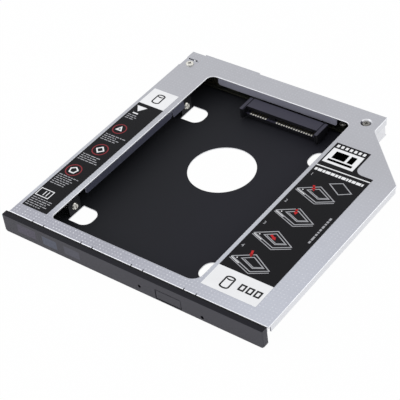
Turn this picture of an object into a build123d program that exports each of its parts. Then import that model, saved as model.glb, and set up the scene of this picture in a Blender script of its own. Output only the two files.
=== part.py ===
from build123d import *
import os

os.makedirs("parts", exist_ok=True)

# Sheet metal body, in millimetres
chassis_width = 102.4        # the deep part, left of the thin wing
wing_width = 25.6
body_height = 9.3
shoulder_depth = 10.5        # the deep part's side behind the wing's slant
frame_sheet = 0.5
tray_sheet = 0.5
sheet_gap = 0.1              # between the frame's lips and the tray's walls
lip_depth = 3.0
fold_radius = 0.4
inner_corner_radius = 2.0    # where the slant meets the deep part
fold_relief = 1.1            # notch where two lips meet

# Drive window, its margins to the edges of the deep part
window_left_margin = 17.9
window_right_margin = 11.5
window_front_margin = 5.8
window_rear_margin = 10.9
window_radius_front_left = 2.0
window_radius_front_right = 4.5
window_radius_rear_right = 2.6
window_radius_rear_left = 3.2

# Flanges folded down round the window, their ends' distances from its corners
flange_drop = 4.0
side_flange_front = 21.4
side_flange_rear = 20.7
end_flange_left = 3.9
end_flange_right = 6.9
flange_corner_chamfer = 0.8
finger_length = 8.0          # leaning finger at the left flange's rear end
finger_lean = 0.7
finger_gap = 0.4

# Tongues on the frame's front edge, which catch the faceplate
tongue_count = 4
tongue_first = 13.3
tongue_pitch = 25.4
tongue_width = 5.2
tongue_length = 6.3
tongue_slit = 0.5
tongue_slit_depth = 0.8
tongue_hole_width = 2.6
tongue_hole_height = 1.4
tongue_hole_drop = 4.0       # from the frame's top to the hole's upper edge

# Rear left screw pad and rear right dish, from the rear edge
pad_width = 7.4
pad_rear_margin = 5.2
pad_depth = 5.8
pad_drop = 0.6
pad_slit = 0.4
pad_slit_length = 6.2
pad_screw_left_margin = 4.1
pad_screw_rear_margin = 8.2
dish_right_margin = 6.2
dish_rear_margin = 7.2
dish_radius = 2.5
dish_seat_radius = 1.8
dish_depth = 1.1
dish_seat_sheet = 0.4

# Tray
tray_front_height = 2.6
tray_corner_relief = 0.9
hub_hole_left_margin = 54.1
hub_hole_rear_margin = 53.8
hub_hole_radius = 14.7
tab_left_margin = 17.3       # to the bay's side of the left tabs
tab_width = 7.0
tab_height = 8.0
tab_corner_chamfer = 1.4
tab_hole_width = 9.6
tab_hole_length = 10.0
tab_hole_radius = 4.2
collar_radius = 2.6
collar_length = 1.2
dimple_radius = 1.4
dimple_height = 0.8
ear_width = 6.4
ear_thickness = 1.2
ear_reach_left = 7.6
ear_reach_right = 9.4
access_radius = 2.1
bracket_hole_radius = 0.8
bracket_hole_spacing = 8.0
bracket_hole_inset = 7.4
bracket_hole_height = 3.4
bracket_boss_radius = 1.7
bracket_boss_length = 1.0

# Drive fixing: side holes of a 2.5 inch drive, which set the frame's depth
drive_hole_front_margin = 19.9
drive_hole_spacing = 76.6
drive_hole_rear_margin = 29.1
drive_hole_height = 4.0
running_fit = 0.05

# Screws
locating_radius = 1.5
locating_shank = 5.2
locating_head_radius = 2.5
locating_head_height = 1.8
locating_stand_out = 0.8     # of the tip, past the tab
tip_chamfer = 0.4
tip_slot_width = 0.5
tip_slot_depth = 0.5
small_screw_radius = 1.0
small_screw_length = 2.6
pad_head_radius = 1.75
dish_head_radius = 1.6
board_head_radius = 1.8
board_screw_radius = 0.85
board_screw_length = 1.9
small_head_height = 0.7
head_edge = 0.2
recess_length = 1.9
recess_width = 0.45
recess_depth = 0.4

# Faceplate
faceplate_height = 8.9       # leaves the frame's rolled front edge in view
faceplate_depth = 2.9
faceplate_overhang_left = 1.5
faceplate_inset_right = 1.0
faceplate_wall = 1.2
faceplate_rim = 0.85
faceplate_corner_chamfer = 0.9
faceplate_edge_chamfer = 0.3
faceplate_top_edge = 0.25
lug_width = 2.0
lug_height = 0.8
hook_drop = 0.3
hook_length = 0.5
snap_gap = 0.1
emergency_hole_left_margin = 69.3
emergency_hole_height = 3.4
lamp_hole_left_margin = 99.2
lamp_hole_height = 1.95
pin_hole_radius = 0.75

# Button, just above the faceplate's lower rim
button_left_margin = 83.3
button_width = 11.9
button_height = 4.4
button_gap = 0.3
button_edge = 0.2
button_corner_radius = 0.4
button_flange = 0.7
button_plate = 0.6
button_back_gap = 0.1
arm_length = 6.0
arm_width = 1.1
eye_radius = 1.5
post_radius = 0.7
post_clearance = 0.1

# Board and its fixings
board_left_margin = 7.6
board_right_margin = 14.2
board_rear_margin = 1.4
board_depth = 8.9
board_tongue_length = 4.7    # under the drive socket
board_bottom = 2.0
board_thickness = 0.8
standoff_radius = 2.5
board_screw_left_margin = 42.0
board_screw_right_margin = 18.9
board_screw_rear_margin = 5.4
capacitor_length = 1.6
capacitor_width = 0.8
capacitor_pitch = 2.6
capacitor_count = 6
capacitor_rear_margin = 6.6

# Drive socket
contact_pitch = 1.27
signal_count = 7
power_count = 15
group_gap = 5.9              # from the last signal contact to the first power one
contact_width = 0.7
contact_sheet = 0.2
socket_left_margin = 60.9    # to its centre line
socket_body_width = 36.4
socket_body_length = 7.0
socket_rear_margin = 13.0
socket_bottom = 1.7
socket_height = 4.7
socket_slot_bottom = 1.5     # above the socket's underside
socket_slot_height = 1.7
socket_slot_depth = 5.0
socket_slot_margin = 1.3     # each side of a contact group
socket_lower_lip = 1.1       # open shelf in front of the slots
contact_tip_inset = 0.2      # from the shelf's front edge
ear_block_width = 1.8
ear_block_reach = 1.9        # forward of the socket's body
ear_groove = 0.3
ear_nose_chamfer = 0.45
tail_foot = 1.2

# Laptop plug
plug_left_margin = 8.2
plug_width = 27.6
plug_length = 7.2
plug_height = 3.9
plug_inset = 0.4
plug_wall = 0.8
plug_cavity_depth = 5.0
plug_blade = 1.1
plug_blade_inset = 0.5
plug_shelf = 0.5             # the frame's rear edge stands out over the plug
plug_relief_margin = 1.0
host_signal_pitch = 1.27
host_signal_count = 7
host_power_pitch = 1.0
host_power_count = 6
host_group_gap = 4.6

# Labels, their margins to the frame's edges and the window
label_sheet = 0.1
label_front_margin = 6.0
left_label_left_margin = 1.9
left_label_window_margin = 2.7
left_label_rear_margin = 31.0
right_label_window_margin = 2.0
right_label_right_margin = 10.0
right_label_rear_margin = 24.3
right_label_step_width = 9.0
right_label_step_length = 13.3
right_label_step_radius = 3.8

# Places that follow from the sizes above
frame_width = chassis_width + wing_width
frame_depth = drive_hole_front_margin + drive_hole_spacing + drive_hole_rear_margin
overall_width = faceplate_overhang_left + frame_width
overall_depth = faceplate_depth + frame_depth + plug_shelf
left = faceplate_overhang_left - overall_width / 2
front = faceplate_depth - overall_depth / 2
right = left + frame_width
rear = front + frame_depth
chassis_right = left + chassis_width
slant_start = rear - shoulder_depth - wing_width
plate_under = body_height - frame_sheet
window_left = left + window_left_margin
window_right = chassis_right - window_right_margin
window_front = front + window_front_margin
window_rear = rear - window_rear_margin
tray_left = left + frame_sheet + sheet_gap
tray_right = chassis_right - frame_sheet - sheet_gap
tray_front = front + frame_sheet + sheet_gap
tray_rear = rear - frame_sheet - sheet_gap
tab_left = left + tab_left_margin
tab_right = window_left + window_right - tab_left
drive_hole_y = (front + drive_hole_front_margin, rear - drive_hole_rear_margin)
board_top = board_bottom + board_thickness
board_rear = rear - board_rear_margin
board_front = board_rear - board_depth
tongue_front = board_front - board_tongue_length
board_screws = [
    (left + board_screw_left_margin, rear - board_screw_rear_margin),
    (chassis_right - board_screw_right_margin, rear - board_screw_rear_margin),
]
plug_left = left + plug_left_margin
plug_right = plug_left + plug_width
plug_rear = rear - plug_inset
plug_top = board_top + plug_height
socket_x = left + socket_left_margin
socket_rear = rear - socket_rear_margin
socket_front = socket_rear - socket_body_length
contact_span = (signal_count + power_count - 2) * contact_pitch + group_gap
signal_start = socket_x - contact_span / 2
power_start = signal_start + (signal_count - 1) * contact_pitch + group_gap
signal_places = [signal_start + i * contact_pitch for i in range(signal_count)]
power_places = [power_start + i * contact_pitch for i in range(power_count)]
slot_bottom = socket_bottom + socket_slot_bottom
slot_rear = socket_front + socket_slot_depth
host_span = (host_signal_count - 1) * host_signal_pitch + (host_power_count - 1) * host_power_pitch
host_start = (plug_left + plug_right - host_span - host_group_gap) / 2
host_power_start = host_start + (host_signal_count - 1) * host_signal_pitch + host_group_gap
host_signal_places = [host_start + i * host_signal_pitch for i in range(host_signal_count)]
host_power_places = [host_power_start + i * host_power_pitch for i in range(host_power_count)]
blade_bottom = board_top + (plug_height - plug_blade) / 2
tongue_places = [left + tongue_first + i * tongue_pitch for i in range(tongue_count)]
tongue_hole_z = body_height - tongue_hole_drop - tongue_hole_height / 2
wall_back = front - faceplate_depth + faceplate_wall
pad_under = plate_under - pad_drop
dish_under = body_height - dish_depth - dish_seat_sheet
pad_screw = (left + pad_screw_left_margin, rear - pad_screw_rear_margin)
dish_screw = (chassis_right - dish_right_margin, rear - dish_rear_margin)
button_z = faceplate_rim + button_gap + button_height / 2
button_place = (left + button_left_margin, button_z)


def patch(x_limits, y_limits, mode=Mode.ADD):
    # A rectangle between two pairs of limits, in the open sketch
    centre = (sum(x_limits) / 2, sum(y_limits) / 2)
    with Locations(centre):
        Rectangle(x_limits[1] - x_limits[0], y_limits[1] - y_limits[0], mode=mode)


def frame_outline():
    # Plan of the frame: deep part, slant and wing
    with BuildLine() as plan:
        FilletPolyline(
            (left, front),
            (right, front),
            (right, slant_start),
            (chassis_right, rear - shoulder_depth),
            (chassis_right, rear),
            (left, rear),
            radius=[0, 0, 0, inner_corner_radius, 0, 0],
            close=True,
        )
    make_face(plan.edges())


def flange(limits):
    # Face of a flange folded down from the window's edge
    patch(limits, (body_height - flange_drop, plate_under))
    chamfer(vertices().group_by(Axis.Y)[0], flange_corner_chamfer)


def seat_plane(x, y, z, outward=(0, 0, 1)):
    # Plane of a screw's seat, its normal pointing out of the head
    return Plane(origin=(x, y, z), z_dir=outward)


def screw(seat, head_radius, head_height, shank_radius, shank_length):
    # Turned profile, head above the seat and shank below it
    section = Plane(origin=seat.origin, x_dir=seat.x_dir, z_dir=-seat.y_dir)
    with BuildSketch(section) as profile:
        with BuildLine():
            Polyline(
                (0, head_height),
                (head_radius, head_height),
                (head_radius, 0),
                (shank_radius, 0),
                (shank_radius, -shank_length),
                (0, -shank_length),
                close=True,
            )
        make_face()
    revolve(profile.sketch, axis=Axis(seat.origin, seat.z_dir))
    with BuildSketch(seat.offset(head_height - recess_depth)) as recess:
        Rectangle(recess_length, recess_width)
        Rectangle(recess_width, recess_length)
    extrude(recess.sketch, amount=recess_depth, mode=Mode.SUBTRACT)


def locating_screw(y):
    # Side screw along X, its tip slotted and standing out of the bay's left tab
    seat_x = tab_left + locating_stand_out - locating_shank
    seat = seat_plane(seat_x, y, drive_hole_height, (-1, 0, 0))
    screw(seat, locating_head_radius, locating_head_height, locating_radius, locating_shank)
    chamfer(faces().sort_by(Axis.X)[-1].edges(), tip_chamfer)
    with BuildSketch(seat.offset(-locating_shank)) as slot:
        Rectangle(2 * locating_radius, tip_slot_width)
    extrude(slot.sketch, amount=tip_slot_depth, mode=Mode.SUBTRACT)


def socket_contact():
    # Side view of one spring contact: blade in the slot, step and foot on the board
    tail = socket_rear + contact_sheet
    blade_front = socket_front + contact_tip_inset
    patch((blade_front, tail), (slot_bottom, slot_bottom + contact_sheet))
    patch((tail - contact_sheet, tail), (board_top, slot_bottom + contact_sheet))
    patch((tail - contact_sheet, tail + tail_foot), (board_top, board_top + contact_sheet))


def plug_contact():
    # Side view of one plug contact: blade on the tongue, step and foot on the board
    tail = plug_rear - plug_length - contact_sheet
    blade_top = blade_bottom + plug_blade
    tip = plug_rear - 2 * plug_blade_inset
    patch((tail, tip), (blade_top, blade_top + contact_sheet))
    patch((tail, tail + contact_sheet), (board_top, blade_top + contact_sheet))
    patch((tail - tail_foot, tail + contact_sheet), (board_top, board_top + contact_sheet))


def contact_row(places, side_view, mode=Mode.ADD):
    # The same side view at each place along X
    for place in places:
        with BuildSketch(Plane.YZ.offset(place - contact_width / 2)) as strip:
            side_view()
        extrude(strip.sketch, amount=contact_width, mode=mode)


# Top frame
with BuildPart() as top_frame:
    with BuildSketch(Plane.XY.offset(body_height - lip_depth)):
        frame_outline()
        offset(amount=-frame_sheet, mode=Mode.SUBTRACT)
        outer_corners = [(right, front), (right, slant_start), (chassis_right, rear), (left, rear)]
        for corner in [(left, front), *outer_corners]:
            with Locations(corner):
                Rectangle(2 * fold_relief, 2 * fold_relief, mode=Mode.SUBTRACT)
        plug_relief = (plug_left - plug_relief_margin, plug_right + plug_relief_margin)
        patch(plug_relief, (rear - fold_relief, rear), mode=Mode.SUBTRACT)
    extrude(amount=lip_depth - frame_sheet)
    with BuildSketch(Plane.XY.offset(plate_under)):
        frame_outline()
        with BuildLine():
            FilletPolyline(
                (window_left, window_front),
                (window_right, window_front),
                (window_right, window_rear),
                (window_left, window_rear),
                radius=[
                    window_radius_front_left,
                    window_radius_front_right,
                    window_radius_rear_right,
                    window_radius_rear_left,
                ],
                close=True,
            )
        make_face(mode=Mode.SUBTRACT)
    extrude(amount=frame_sheet)
    fillet(faces().sort_by(Axis.Z)[-1].edges(), fold_radius)

    # Rear edge over the plug
    with BuildSketch(Plane.XY.offset(plate_under)):
        patch(plug_relief, (rear - frame_sheet, rear + plug_shelf))
    extrude(amount=frame_sheet)

    # Flanges of the window
    side_limits = (window_front + side_flange_front, window_rear - side_flange_rear)
    left_limits = (side_limits[0], side_limits[1] - finger_length - finger_gap)
    end_limits = (window_left + end_flange_left, window_right - end_flange_right)
    with BuildSketch(Plane.YZ.offset(window_left - frame_sheet)):
        flange(left_limits)
    extrude(amount=frame_sheet)
    with BuildSketch(Plane.YZ.offset(window_right)):
        flange(side_limits)
    extrude(amount=frame_sheet)
    with BuildSketch(Plane.XZ.offset(-window_front)):
        flange(end_limits)
    extrude(amount=frame_sheet)
    with BuildSketch(Plane.XZ.offset(-window_rear - frame_sheet)):
        flange(end_limits)
    extrude(amount=frame_sheet)
    with BuildSketch(Plane.XZ.offset(-side_limits[1])):
        with BuildLine():
            Polyline(
                (window_left - frame_sheet, plate_under),
                (window_left, plate_under),
                (window_left + finger_lean, body_height - flange_drop),
                (window_left + finger_lean - frame_sheet, body_height - flange_drop),
                close=True,
            )
        make_face()
    extrude(amount=finger_length)

    # Recessed pad of the left screw, lanced free along its rear edge
    pad_limits = (rear - pad_rear_margin - pad_depth, rear - pad_rear_margin)
    with BuildSketch(Plane.XY.offset(pad_under)):
        patch((left, left + pad_width + frame_sheet), (pad_limits[0] - frame_sheet, pad_limits[1]))
    extrude(amount=pad_drop + fold_radius)
    with BuildSketch(Plane.XY.offset(pad_under + frame_sheet)):
        patch((left - pad_drop, left + pad_width), pad_limits)
    extrude(amount=body_height, mode=Mode.SUBTRACT)
    with BuildSketch(Plane.XY.offset(body_height - lip_depth)):
        patch((left - pad_drop, left + pad_slit_length), (pad_limits[1], pad_limits[1] + pad_slit))
    extrude(amount=body_height, mode=Mode.SUBTRACT)
    with BuildSketch(Plane.XY.offset(pad_under)):
        with Locations(pad_screw):
            Circle(small_screw_radius + running_fit)
    extrude(amount=frame_sheet, mode=Mode.SUBTRACT)

    # Dished seat of the right screw
    with Locations((*dish_screw, dish_under)):
        Cone(
            dish_seat_radius + dish_seat_sheet,
            dish_radius + frame_sheet,
            plate_under - dish_under,
            align=(Align.CENTER, Align.CENTER, Align.MIN),
        )
    with Locations((*dish_screw, body_height - dish_depth)):
        Cone(
            dish_seat_radius,
            dish_radius,
            dish_depth,
            align=(Align.CENTER, Align.CENTER, Align.MIN),
            mode=Mode.SUBTRACT,
        )
    with BuildSketch(Plane.XY.offset(dish_under)):
        with Locations(dish_screw):
            Circle(small_screw_radius + running_fit)
    extrude(amount=dish_seat_sheet, mode=Mode.SUBTRACT)

    # Front tongues, slit free of the lip, each with a hole for a faceplate lug
    for place in tongue_places:
        tongue = (place, place + tongue_width)
        with BuildSketch(Plane.XY.offset(body_height - tongue_length)):
            patch(tongue, (front, front + frame_sheet))
        extrude(amount=tongue_length - lip_depth)
        with BuildSketch(Plane.XY.offset(body_height - lip_depth)):
            slit_limits = (front - tongue_slit, front + tongue_slit_depth)
            patch((tongue[0] - tongue_slit, tongue[0]), slit_limits)
            patch((tongue[1], tongue[1] + tongue_slit), slit_limits)
        extrude(amount=lip_depth, mode=Mode.SUBTRACT)
        with BuildSketch(Plane.XZ.offset(-front - frame_sheet)):
            with Locations((place + tongue_width / 2, tongue_hole_z)):
                Rectangle(tongue_hole_width, tongue_hole_height)
        extrude(amount=frame_sheet, mode=Mode.SUBTRACT)

# Bottom tray
with BuildPart() as bottom_tray:
    with BuildSketch():
        patch((tray_left, tray_right), (tray_front, tray_rear))
    extrude(amount=plate_under)
    with BuildSketch(Plane.XY.offset(tray_sheet)):
        patch(
            (tray_left + tray_sheet, tray_right - tray_sheet),
            (tray_front + tray_sheet, tray_rear - tray_sheet),
        )
        for corner in [(x, y) for x in (tray_left, tray_right) for y in (tray_front, tray_rear)]:
            with Locations(corner):
                Rectangle(2 * tray_corner_relief, 2 * tray_corner_relief)
    extrude(amount=body_height, mode=Mode.SUBTRACT)
    fillet(faces().sort_by(Axis.Z)[0].edges(), fold_radius)
    with BuildSketch(Plane.XY.offset(tray_front_height)):
        patch((tray_left, tray_right), (tray_front, tray_front + tray_sheet))
    extrude(amount=body_height, mode=Mode.SUBTRACT)

    # Round hole and the four D holes that the tabs were folded out of
    with BuildSketch():
        with Locations((left + hub_hole_left_margin, rear - hub_hole_rear_margin)):
            Circle(hub_hole_radius)
    extrude(amount=tray_sheet, mode=Mode.SUBTRACT)
    for y in drive_hole_y:
        half = tab_hole_length / 2
        for hole, round_side in (
            ((tab_left, tab_left + tab_hole_width), -1),
            ((tab_right - tab_hole_width, tab_right), 0),
        ):
            with BuildSketch():
                patch(hole, (y - half, y + half))
                fillet(vertices().group_by(Axis.X)[round_side], tab_hole_radius)
            extrude(amount=tray_sheet, mode=Mode.SUBTRACT)

    # Tabs: collared on the left for the locating screws, dimpled on the right
    for y in drive_hole_y:
        for plane_x in (tab_left - tray_sheet, tab_right):
            with BuildSketch(Plane.YZ.offset(plane_x)):
                patch((y - tab_width / 2, y + tab_width / 2), (0, tab_height))
                chamfer(vertices().group_by(Axis.Y)[-1], tab_corner_chamfer)
            extrude(amount=tray_sheet)
        with BuildSketch(Plane.YZ.offset(tab_left - tray_sheet - collar_length)):
            with Locations((y, drive_hole_height)):
                Circle(collar_radius)
        extrude(amount=collar_length)
        with BuildSketch(Plane.YZ.offset(tab_left - tray_sheet - collar_length)):
            with Locations((y, drive_hole_height)):
                Circle(locating_radius + running_fit)
        extrude(amount=collar_length + tray_sheet, mode=Mode.SUBTRACT)
        with BuildSketch(Plane.YZ.offset(tab_right - dimple_height)):
            with Locations((y, drive_hole_height)):
                Circle(dimple_radius)
        extrude(amount=dimple_height)
        with BuildSketch(Plane.YZ.offset(tray_left)):
            with Locations((y, drive_hole_height)):
                Circle(access_radius)
        extrude(amount=tray_sheet, mode=Mode.SUBTRACT)

    # Bosses under the board
    for place in board_screws:
        with Locations((*place, 0)):
            Cylinder(standoff_radius, board_bottom, align=(Align.CENTER, Align.CENTER, Align.MIN))
        with Locations((*place, tray_sheet)):
            Cylinder(
                board_screw_radius + running_fit,
                board_bottom,
                align=(Align.CENTER, Align.CENTER, Align.MIN),
                mode=Mode.SUBTRACT,
            )

    # Wall lowered under the pad, and the two ears that the rear screws bite into
    with BuildSketch(Plane.XY.offset(pad_under)):
        patch(
            (tray_left, tray_left + tray_sheet),
            (pad_limits[0] - frame_sheet - sheet_gap, pad_limits[1] + sheet_gap),
        )
    extrude(amount=body_height, mode=Mode.SUBTRACT)
    with BuildSketch(Plane.XY.offset(pad_under - ear_thickness)):
        half = ear_width / 2
        patch((tray_left, left + ear_reach_left), (pad_screw[1] - half, pad_screw[1] + half))
        with Locations(pad_screw):
            Circle(small_screw_radius + running_fit, mode=Mode.SUBTRACT)
    extrude(amount=ear_thickness)
    with BuildSketch(Plane.XY.offset(dish_under - ear_thickness)):
        patch((tray_right - ear_reach_right, tray_right), (dish_screw[1] - half, dish_screw[1] + half))
        with Locations(dish_screw):
            Circle(small_screw_radius + running_fit, mode=Mode.SUBTRACT)
    extrude(amount=ear_thickness)

    # Opening for the laptop plug, and the tapped holes of the laptop's bracket
    with BuildSketch(Plane.XZ.offset(-tray_rear)):
        patch((plug_left - sheet_gap, plug_right + sheet_gap), (board_top - sheet_gap, body_height))
    extrude(amount=tray_sheet, mode=Mode.SUBTRACT)
    bracket_centre = tray_right - bracket_hole_inset
    with BuildSketch(Plane.XZ.offset(-tray_rear)):
        with Locations((bracket_centre, bracket_hole_height)):
            with GridLocations(bracket_hole_spacing, 0, 2, 1):
                Circle(bracket_boss_radius)
    extrude(amount=tray_sheet + bracket_boss_length)
    with BuildSketch(Plane.XZ.offset(-tray_rear)):
        with Locations((bracket_centre, bracket_hole_height)):
            with GridLocations(bracket_hole_spacing, 0, 2, 1):
                Circle(bracket_hole_radius)
    extrude(amount=tray_sheet + bracket_boss_length, mode=Mode.SUBTRACT)

# Faceplate
plate_limits = (left - faceplate_overhang_left, right - faceplate_inset_right)
with BuildPart() as front_bezel:
    with BuildSketch(Plane.XZ.offset(-front)):
        patch(plate_limits, (0, faceplate_height))
        chamfer(vertices().group_by(Axis.Y)[0], faceplate_corner_chamfer)
    extrude(amount=faceplate_depth)
    front_edges = faces().sort_by(Axis.Y)[0].edges()
    chamfer(front_edges.sort_by(Axis.Z)[:-1], faceplate_edge_chamfer)
    fillet(faces().sort_by(Axis.Y)[0].edges().sort_by(Axis.Z)[-1], faceplate_top_edge)
    with BuildSketch(Plane.XZ.offset(-front)):
        patch(
            (plate_limits[0] + faceplate_rim, plate_limits[1] - faceplate_rim),
            (faceplate_rim, faceplate_height - faceplate_rim),
        )
        chamfer(vertices().group_by(Axis.Y)[0], faceplate_corner_chamfer)
    extrude(amount=faceplate_depth - faceplate_wall, mode=Mode.SUBTRACT)

    # Button opening, with the posts of its arms on each side
    with BuildSketch(Plane.XZ.offset(-wall_back)):
        with Locations(button_place):
            Rectangle(button_width + 2 * button_gap, button_height + 2 * button_gap)
            fillet(vertices(), button_corner_radius + button_gap)
    extrude(amount=faceplate_wall, mode=Mode.SUBTRACT)
    post_reach = button_width / 2 + button_flange + arm_length
    with BuildSketch(Plane.XZ.offset(-wall_back)):
        with Locations(button_place):
            with GridLocations(2 * post_reach, 0, 2, 1):
                Circle(post_radius)
    extrude(amount=-(front - wall_back))

    # The two small round holes
    for margin, z in (
        (emergency_hole_left_margin, emergency_hole_height),
        (lamp_hole_left_margin, lamp_hole_height),
    ):
        with BuildSketch(Plane.XZ.offset(-wall_back)):
            with Locations((left + margin, z)):
                Circle(pin_hole_radius)
        extrude(amount=faceplate_wall, mode=Mode.SUBTRACT)

    # Hooked lugs through the tongues
    lug_bottom = tongue_hole_z - lug_height / 2
    hook_front = front + frame_sheet + snap_gap
    for place in tongue_places:
        middle = place + tongue_width / 2
        with BuildSketch(Plane.YZ.offset(middle - lug_width / 2)):
            patch((wall_back, hook_front + hook_length), (lug_bottom, lug_bottom + lug_height))
            hook_limits = (lug_bottom - hook_drop - snap_gap, lug_bottom)
            patch((hook_front, hook_front + hook_length), hook_limits)
        extrude(amount=lug_width)

# Button: cap, flange behind the wall, and two arms with eyes round the posts
with BuildPart() as eject_button:
    with BuildSketch(Plane.XZ.offset(-wall_back - button_back_gap)):
        with Locations(button_place):
            Rectangle(button_width, button_height)
            fillet(vertices(), button_corner_radius)
    extrude(amount=faceplate_wall + button_back_gap)
    chamfer(faces().sort_by(Axis.Y)[0].edges(), button_edge)
    with BuildSketch(Plane.XZ.offset(-wall_back - button_back_gap - button_plate)):
        flange_half = button_width / 2 + button_flange
        patch(
            (button_place[0] - flange_half, button_place[0] + flange_half),
            (button_z - button_height / 2, button_z + button_height / 2 + button_flange),
        )
        with Locations(button_place):
            Rectangle(2 * post_reach, arm_width)
            with GridLocations(2 * post_reach, 0, 2, 1):
                Circle(eye_radius)
                Circle(post_radius + post_clearance, mode=Mode.SUBTRACT)
    extrude(amount=button_plate)

# Circuit board
with BuildPart() as adapter_board:
    with BuildSketch(Plane.XY.offset(board_bottom)):
        patch((left + board_left_margin, chassis_right - board_right_margin), (board_front, board_rear))
        patch(
            (socket_x - socket_body_width / 2, socket_x + socket_body_width / 2),
            (tongue_front, board_front),
        )
        for place in board_screws:
            with Locations(place):
                Circle(board_screw_radius + running_fit, mode=Mode.SUBTRACT)
    extrude(amount=board_thickness)

with BuildPart() as board_capacitors:
    row_centre = (board_screws[0][0] + board_screws[1][0]) / 2
    with Locations((row_centre, rear - capacitor_rear_margin, board_top)):
        with GridLocations(capacitor_pitch, 0, capacitor_count, 1):
            Box(
                capacitor_length,
                capacitor_width,
                capacitor_width,
                align=(Align.CENTER, Align.CENTER, Align.MIN),
            )

# Drive socket
with BuildPart() as drive_receptacle:
    body_limits = (socket_x - socket_body_width / 2, socket_x + socket_body_width / 2)
    socket_top = socket_bottom + socket_height
    arm_limits = [
        (body_limits[0] - ear_block_width, body_limits[0]),
        (body_limits[1], body_limits[1] + ear_block_width),
    ]
    with BuildSketch(Plane.XY.offset(socket_bottom)):
        patch(body_limits, (socket_front, socket_rear))
        for limits in arm_limits:
            patch(limits, (socket_front - ear_block_reach, socket_rear))
        chamfer(vertices().group_by(Axis.Y)[0], ear_nose_chamfer)
    extrude(amount=socket_height)

    # Step that rests on the board's front edge
    with BuildSketch(Plane.XY.offset(socket_bottom)):
        patch((arm_limits[0][0], arm_limits[1][1]), (tongue_front, socket_rear))
    extrude(amount=board_top - socket_bottom, mode=Mode.SUBTRACT)

    # Slots for the drive's two blades, with the key wall between them
    for places in (signal_places, power_places):
        with BuildSketch(Plane.XZ.offset(-slot_rear)):
            patch(
                (places[0] - socket_slot_margin, places[-1] + socket_slot_margin),
                (slot_bottom, slot_bottom + socket_slot_height),
            )
        extrude(amount=socket_slot_depth, mode=Mode.SUBTRACT)

    # Top wall set back from the lower lip, and grooves that part off the arms
    with BuildSketch(Plane.XZ.offset(-socket_front - socket_lower_lip)):
        patch(body_limits, (slot_bottom, socket_top))
    extrude(amount=socket_lower_lip, mode=Mode.SUBTRACT)
    with BuildSketch(Plane.XY.offset(socket_top - ear_groove)):
        for edge in body_limits:
            patch((edge - ear_groove, edge + ear_groove), (socket_front - ear_block_reach, socket_rear))
    extrude(amount=ear_groove, mode=Mode.SUBTRACT)
    contact_row(signal_places + power_places, socket_contact, mode=Mode.SUBTRACT)

with BuildPart() as drive_signal_contacts:
    contact_row(signal_places, socket_contact)

with BuildPart() as drive_power_contacts:
    contact_row(power_places, socket_contact)

# Laptop plug
with BuildPart() as host_plug:
    with BuildSketch(Plane.XY.offset(board_top)):
        patch((plug_left, plug_right), (plug_rear - plug_length, plug_rear))
    extrude(amount=plug_height)
    with BuildSketch(Plane.XZ.offset(-plug_rear)):
        patch(
            (plug_left + plug_wall, plug_right - plug_wall),
            (board_top + plug_wall, plug_top - plug_wall),
        )
    extrude(amount=plug_cavity_depth, mode=Mode.SUBTRACT)
    for places in (host_signal_places, host_power_places):
        with BuildSketch(Plane.XZ.offset(plug_blade_inset - plug_rear)):
            patch(
                (places[0] - host_signal_pitch, places[-1] + host_signal_pitch),
                (blade_bottom, blade_bottom + plug_blade),
            )
        extrude(amount=plug_cavity_depth)
    contact_row(host_signal_places + host_power_places, plug_contact, mode=Mode.SUBTRACT)

with BuildPart() as host_signal_contacts:
    contact_row(host_signal_places, plug_contact)

with BuildPart() as host_power_contacts:
    contact_row(host_power_places, plug_contact)

# Screws
with BuildPart() as top_screw_left:
    screw(
        seat_plane(*pad_screw, pad_under + frame_sheet),
        pad_head_radius, small_head_height, small_screw_radius, small_screw_length,
    )
    chamfer(faces().sort_by(Axis.Z)[-1].outer_wire().edges(), head_edge)

with BuildPart() as top_screw_right:
    screw(
        seat_plane(*dish_screw, body_height - dish_depth),
        dish_head_radius, small_head_height, small_screw_radius, small_screw_length,
    )
    chamfer(faces().sort_by(Axis.Z)[-1].outer_wire().edges(), head_edge)

with BuildPart() as board_screw_left:
    screw(
        seat_plane(*board_screws[0], board_top),
        board_head_radius, small_head_height, board_screw_radius, board_screw_length,
    )

with BuildPart() as board_screw_right:
    screw(
        seat_plane(*board_screws[1], board_top),
        board_head_radius, small_head_height, board_screw_radius, board_screw_length,
    )

with BuildPart() as locating_screw_front:
    locating_screw(drive_hole_y[0])

with BuildPart() as locating_screw_rear:
    locating_screw(drive_hole_y[1])

# Labels
with BuildPart() as left_label:
    with BuildSketch(Plane.XY.offset(body_height)):
        patch(
            (left + left_label_left_margin, window_left - left_label_window_margin),
            (front + label_front_margin, rear - left_label_rear_margin),
        )
    extrude(amount=label_sheet)

with BuildPart() as right_label:
    label_left = window_right + right_label_window_margin
    label_right = right - right_label_right_margin
    label_front = front + label_front_margin
    label_rear = rear - right_label_rear_margin
    step_x = label_right - right_label_step_width
    step_y = label_rear - right_label_step_length
    with BuildSketch(Plane.XY.offset(body_height)):
        with BuildLine():
            FilletPolyline(
                (label_left, label_front),
                (label_right, label_front),
                (label_right, step_y),
                (step_x, step_y),
                (step_x, label_rear),
                (label_left, label_rear),
                radius=[0, 0, 0, right_label_step_radius, 0, 0],
                close=True,
            )
        make_face()
    extrude(amount=label_sheet)

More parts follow.
